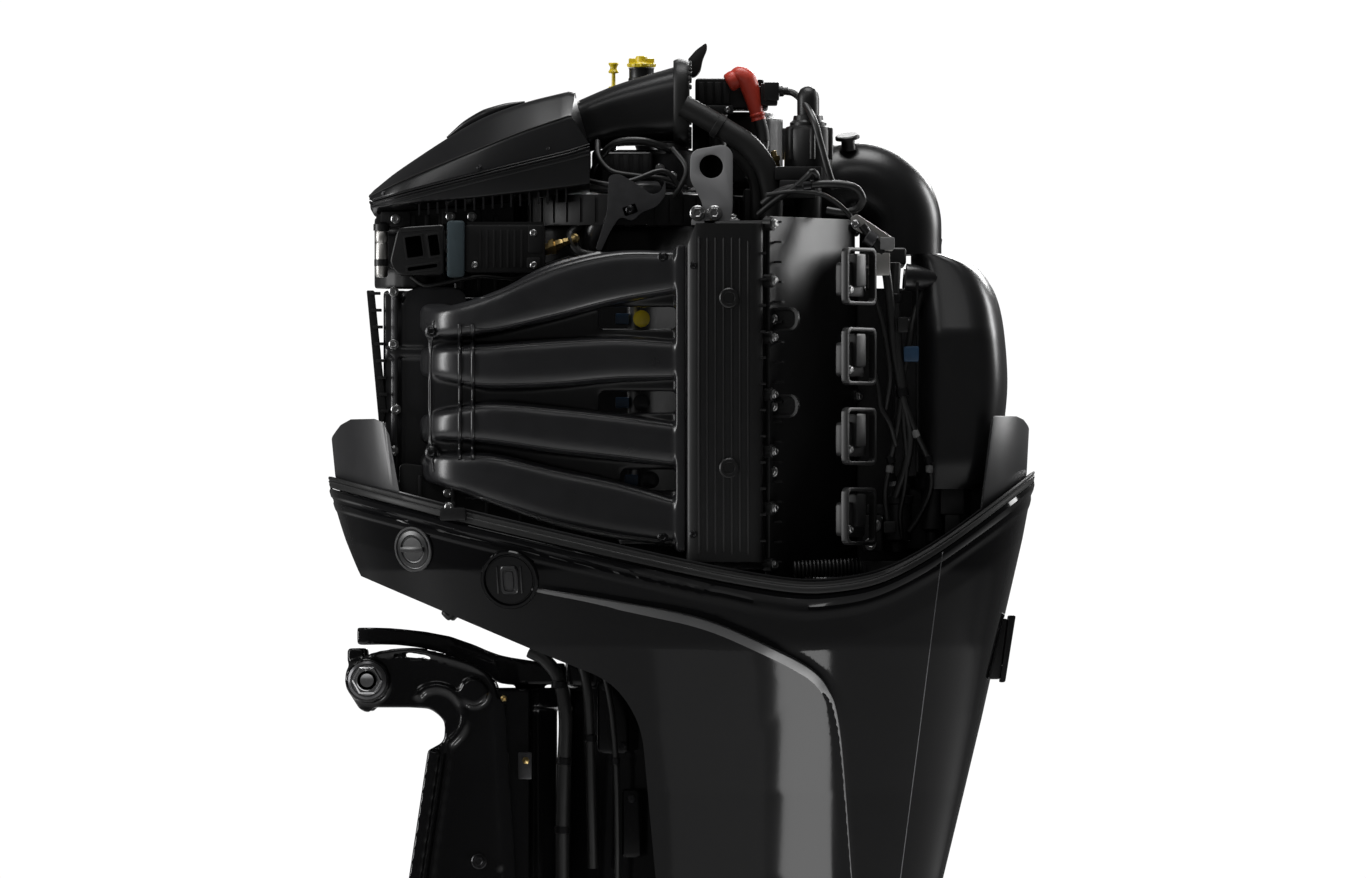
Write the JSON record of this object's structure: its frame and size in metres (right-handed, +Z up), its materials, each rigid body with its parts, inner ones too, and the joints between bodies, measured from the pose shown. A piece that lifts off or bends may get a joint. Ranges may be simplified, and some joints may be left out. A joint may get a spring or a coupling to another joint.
{
  "type": "outboard motor",
  "caption": "Large V8 four-stroke outboard motor on its tilt bracket, top cowl off, with intake runners, lower cowl, leg, gears and propeller, each a separate piece.",
  "frame": {"origin": "midway between the two clamp brackets, at the top of the transom's clamped face", "axes": "+X aft, +Y starboard, +Z up; crankshaft, driveshaft and steering axes along Z, propeller shaft along X"},
  "size_m": [0.9292, 0.6112, 1.938],
  "materials": {
    "cowl_gloss": "glossy black, painted",
    "leg_paint": "glossy black paint",
    "cast_paint": "satin black paint over a casting",
    "bare_casting": "dark sand-cast",
    "moulding": "fine-grained black moulding",
    "shell": "semi-gloss black moulding",
    "rubber": "black",
    "steel": "machined",
    "polished_steel": "polished",
    "alloy": "bare",
    "dark_alloy": "dark anodised",
    "yellow": "yellow",
    "red": "red"
  },
  "bodies": {
    "transom_mount": {"port_clamp_bracket": "cast_paint", "starboard_clamp_bracket": "cast_paint", "tilt_tube": "steel", "trim_pump_unit": "cast_paint"},
    "ram_cylinder": {"tilt_cylinder": "cast_paint"},
    "ram_rod": {"tilt_ram_rod": "steel"},
    "swivel": {"swivel_bracket": "cast_paint"},
    "lock_lever": {"tilt_lock_lever": "cast_paint"},
    "motor": {"steering_arm": "cast_paint", "lower_yoke": "cast_paint", "driveshaft_housing": "leg_paint", "port_lower_cowl": "cowl_gloss", "starboard_lower_cowl": "cowl_gloss", "cowl_rim_seal": "rubber", "cowl_liner": "shell", "adapter_plate": "bare_casting", "engine_block": "bare_casting", "port_cylinder_head": "bare_casting", "starboard_cylinder_head": "bare_casting", "port_valve_cover": "moulding", "starboard_valve_cover": "moulding", "port_intake_manifold": "moulding", "starboard_intake_manifold": "moulding", "port_rail_cover": "moulding", "starboard_rail_cover": "moulding", "intake_plenum": "moulding", "throttle_body": "alloy", "air_box_base": "shell", "air_box_lid": "moulding", "air_duct": "shell", "engine_control_unit": "moulding", "relay_box": "moulding", "lifting_eye": "dark_alloy", "alternator": "bare_casting", "fuse_box": "moulding", "terminal_boot": "red", "breather_hose": "rubber", "oil_filler_neck": "moulding", "dipstick_tube": "steel", "rear_air_duct": "shell", "vent_canister": "moulding", "rear_cover": "shell", "gearcase": "leg_paint", "bearing_carrier": "alloy", "trim_tab": "alloy", "water_pump_housing": "moulding"},
    "throttle_disc": {"throttle_plate": "steel"},
    "filler_cap": {"oil_filler_cap": "yellow"},
    "dipstick": {"dipstick": "yellow"},
    "latch": {"cowl_latch": "cast_paint"},
    "powertrain": {"crankshaft": "steel", "flywheel": "steel", "driveshaft": "steel", "pump_impeller": "rubber", "pinion_gear": "steel"},
    "propeller": {"propeller_shaft": "steel", "forward_gear": "steel", "propeller": "polished_steel", "propeller_nut": "alloy"},
    "reverse_gear": {"reverse_gear": "steel"}
  },
  "joints": [
    {"name": "tilt", "type": "hinge", "parent": "transom_mount", "child": "swivel", "pos_m": [-0.086, 0, 0.046], "axis": [0, -1, 0], "range_deg": [-4, 66]},
    {"name": "cylinder_swing", "type": "hinge", "parent": "transom_mount", "child": "ram_cylinder", "pos_m": [0.008, 0, -0.292], "axis": [0, -1, 0], "range_deg": [-1, 7]},
    {"name": "ram_slide", "type": "slide", "parent": "ram_cylinder", "child": "ram_rod", "axis": [0.1499, 0, 0.9887], "range_m": [-0.012, 0.165]},
    {"name": "steer", "type": "hinge", "parent": "swivel", "child": "motor", "pos_m": [0.125, 0, 0], "axis": [0, 0, 1], "range_deg": [-30, 30]},
    {"name": "lock_lever", "type": "hinge", "parent": "swivel", "child": "lock_lever", "pos_m": [-0.018, -0.09, 0.036], "axis": [0, -1, 0], "range_deg": [0, 50]},
    {"name": "throttle", "type": "hinge", "parent": "motor", "child": "throttle_disc", "pos_m": [-0.025, 0, 0.606], "axis": [0, 1, 0], "range_deg": [0, 80], "stiffness_Nm_per_rad": 0.2},
    {"name": "filler_cap_turn", "type": "hinge", "parent": "motor", "child": "filler_cap", "pos_m": [0.271, 0.15, 0.86], "axis": [0, 0, 1], "range_deg": [0, 90]},
    {"name": "dipstick_pull", "type": "slide", "parent": "motor", "child": "dipstick", "axis": [0, 0, 1], "range_m": [0, 0.28]},
    {"name": "latch_swing", "type": "hinge", "parent": "motor", "child": "latch", "pos_m": [0.758, 0, 0.129], "axis": [0, -1, 0], "range_deg": [0, 55]},
    {"name": "crank_spin", "type": "hinge", "parent": "motor", "child": "powertrain", "pos_m": [0.25, 0, 0], "axis": [0, 0, 1], "continuous": true},
    {"name": "propeller_spin", "type": "hinge", "parent": "motor", "child": "propeller", "pos_m": [0.25, 0, -0.87], "axis": [1, 0, 0], "continuous": true},
    {"name": "reverse_gear_spin", "type": "hinge", "parent": "motor", "child": "reverse_gear", "pos_m": [0.25, 0, -0.87], "axis": [1, 0, 0], "continuous": true}
  ],
  "couplings": [
    {"joint": "cylinder_swing", "follows": "tilt", "ratio": 0.09683},
    {"joint": "ram_slide", "follows": "tilt", "m_per_rad": 0.13681},
    {"joint": "propeller_spin", "follows": "crank_spin", "ratio": 0.54167},
    {"joint": "reverse_gear_spin", "follows": "crank_spin", "ratio": -0.54167}
  ]
}
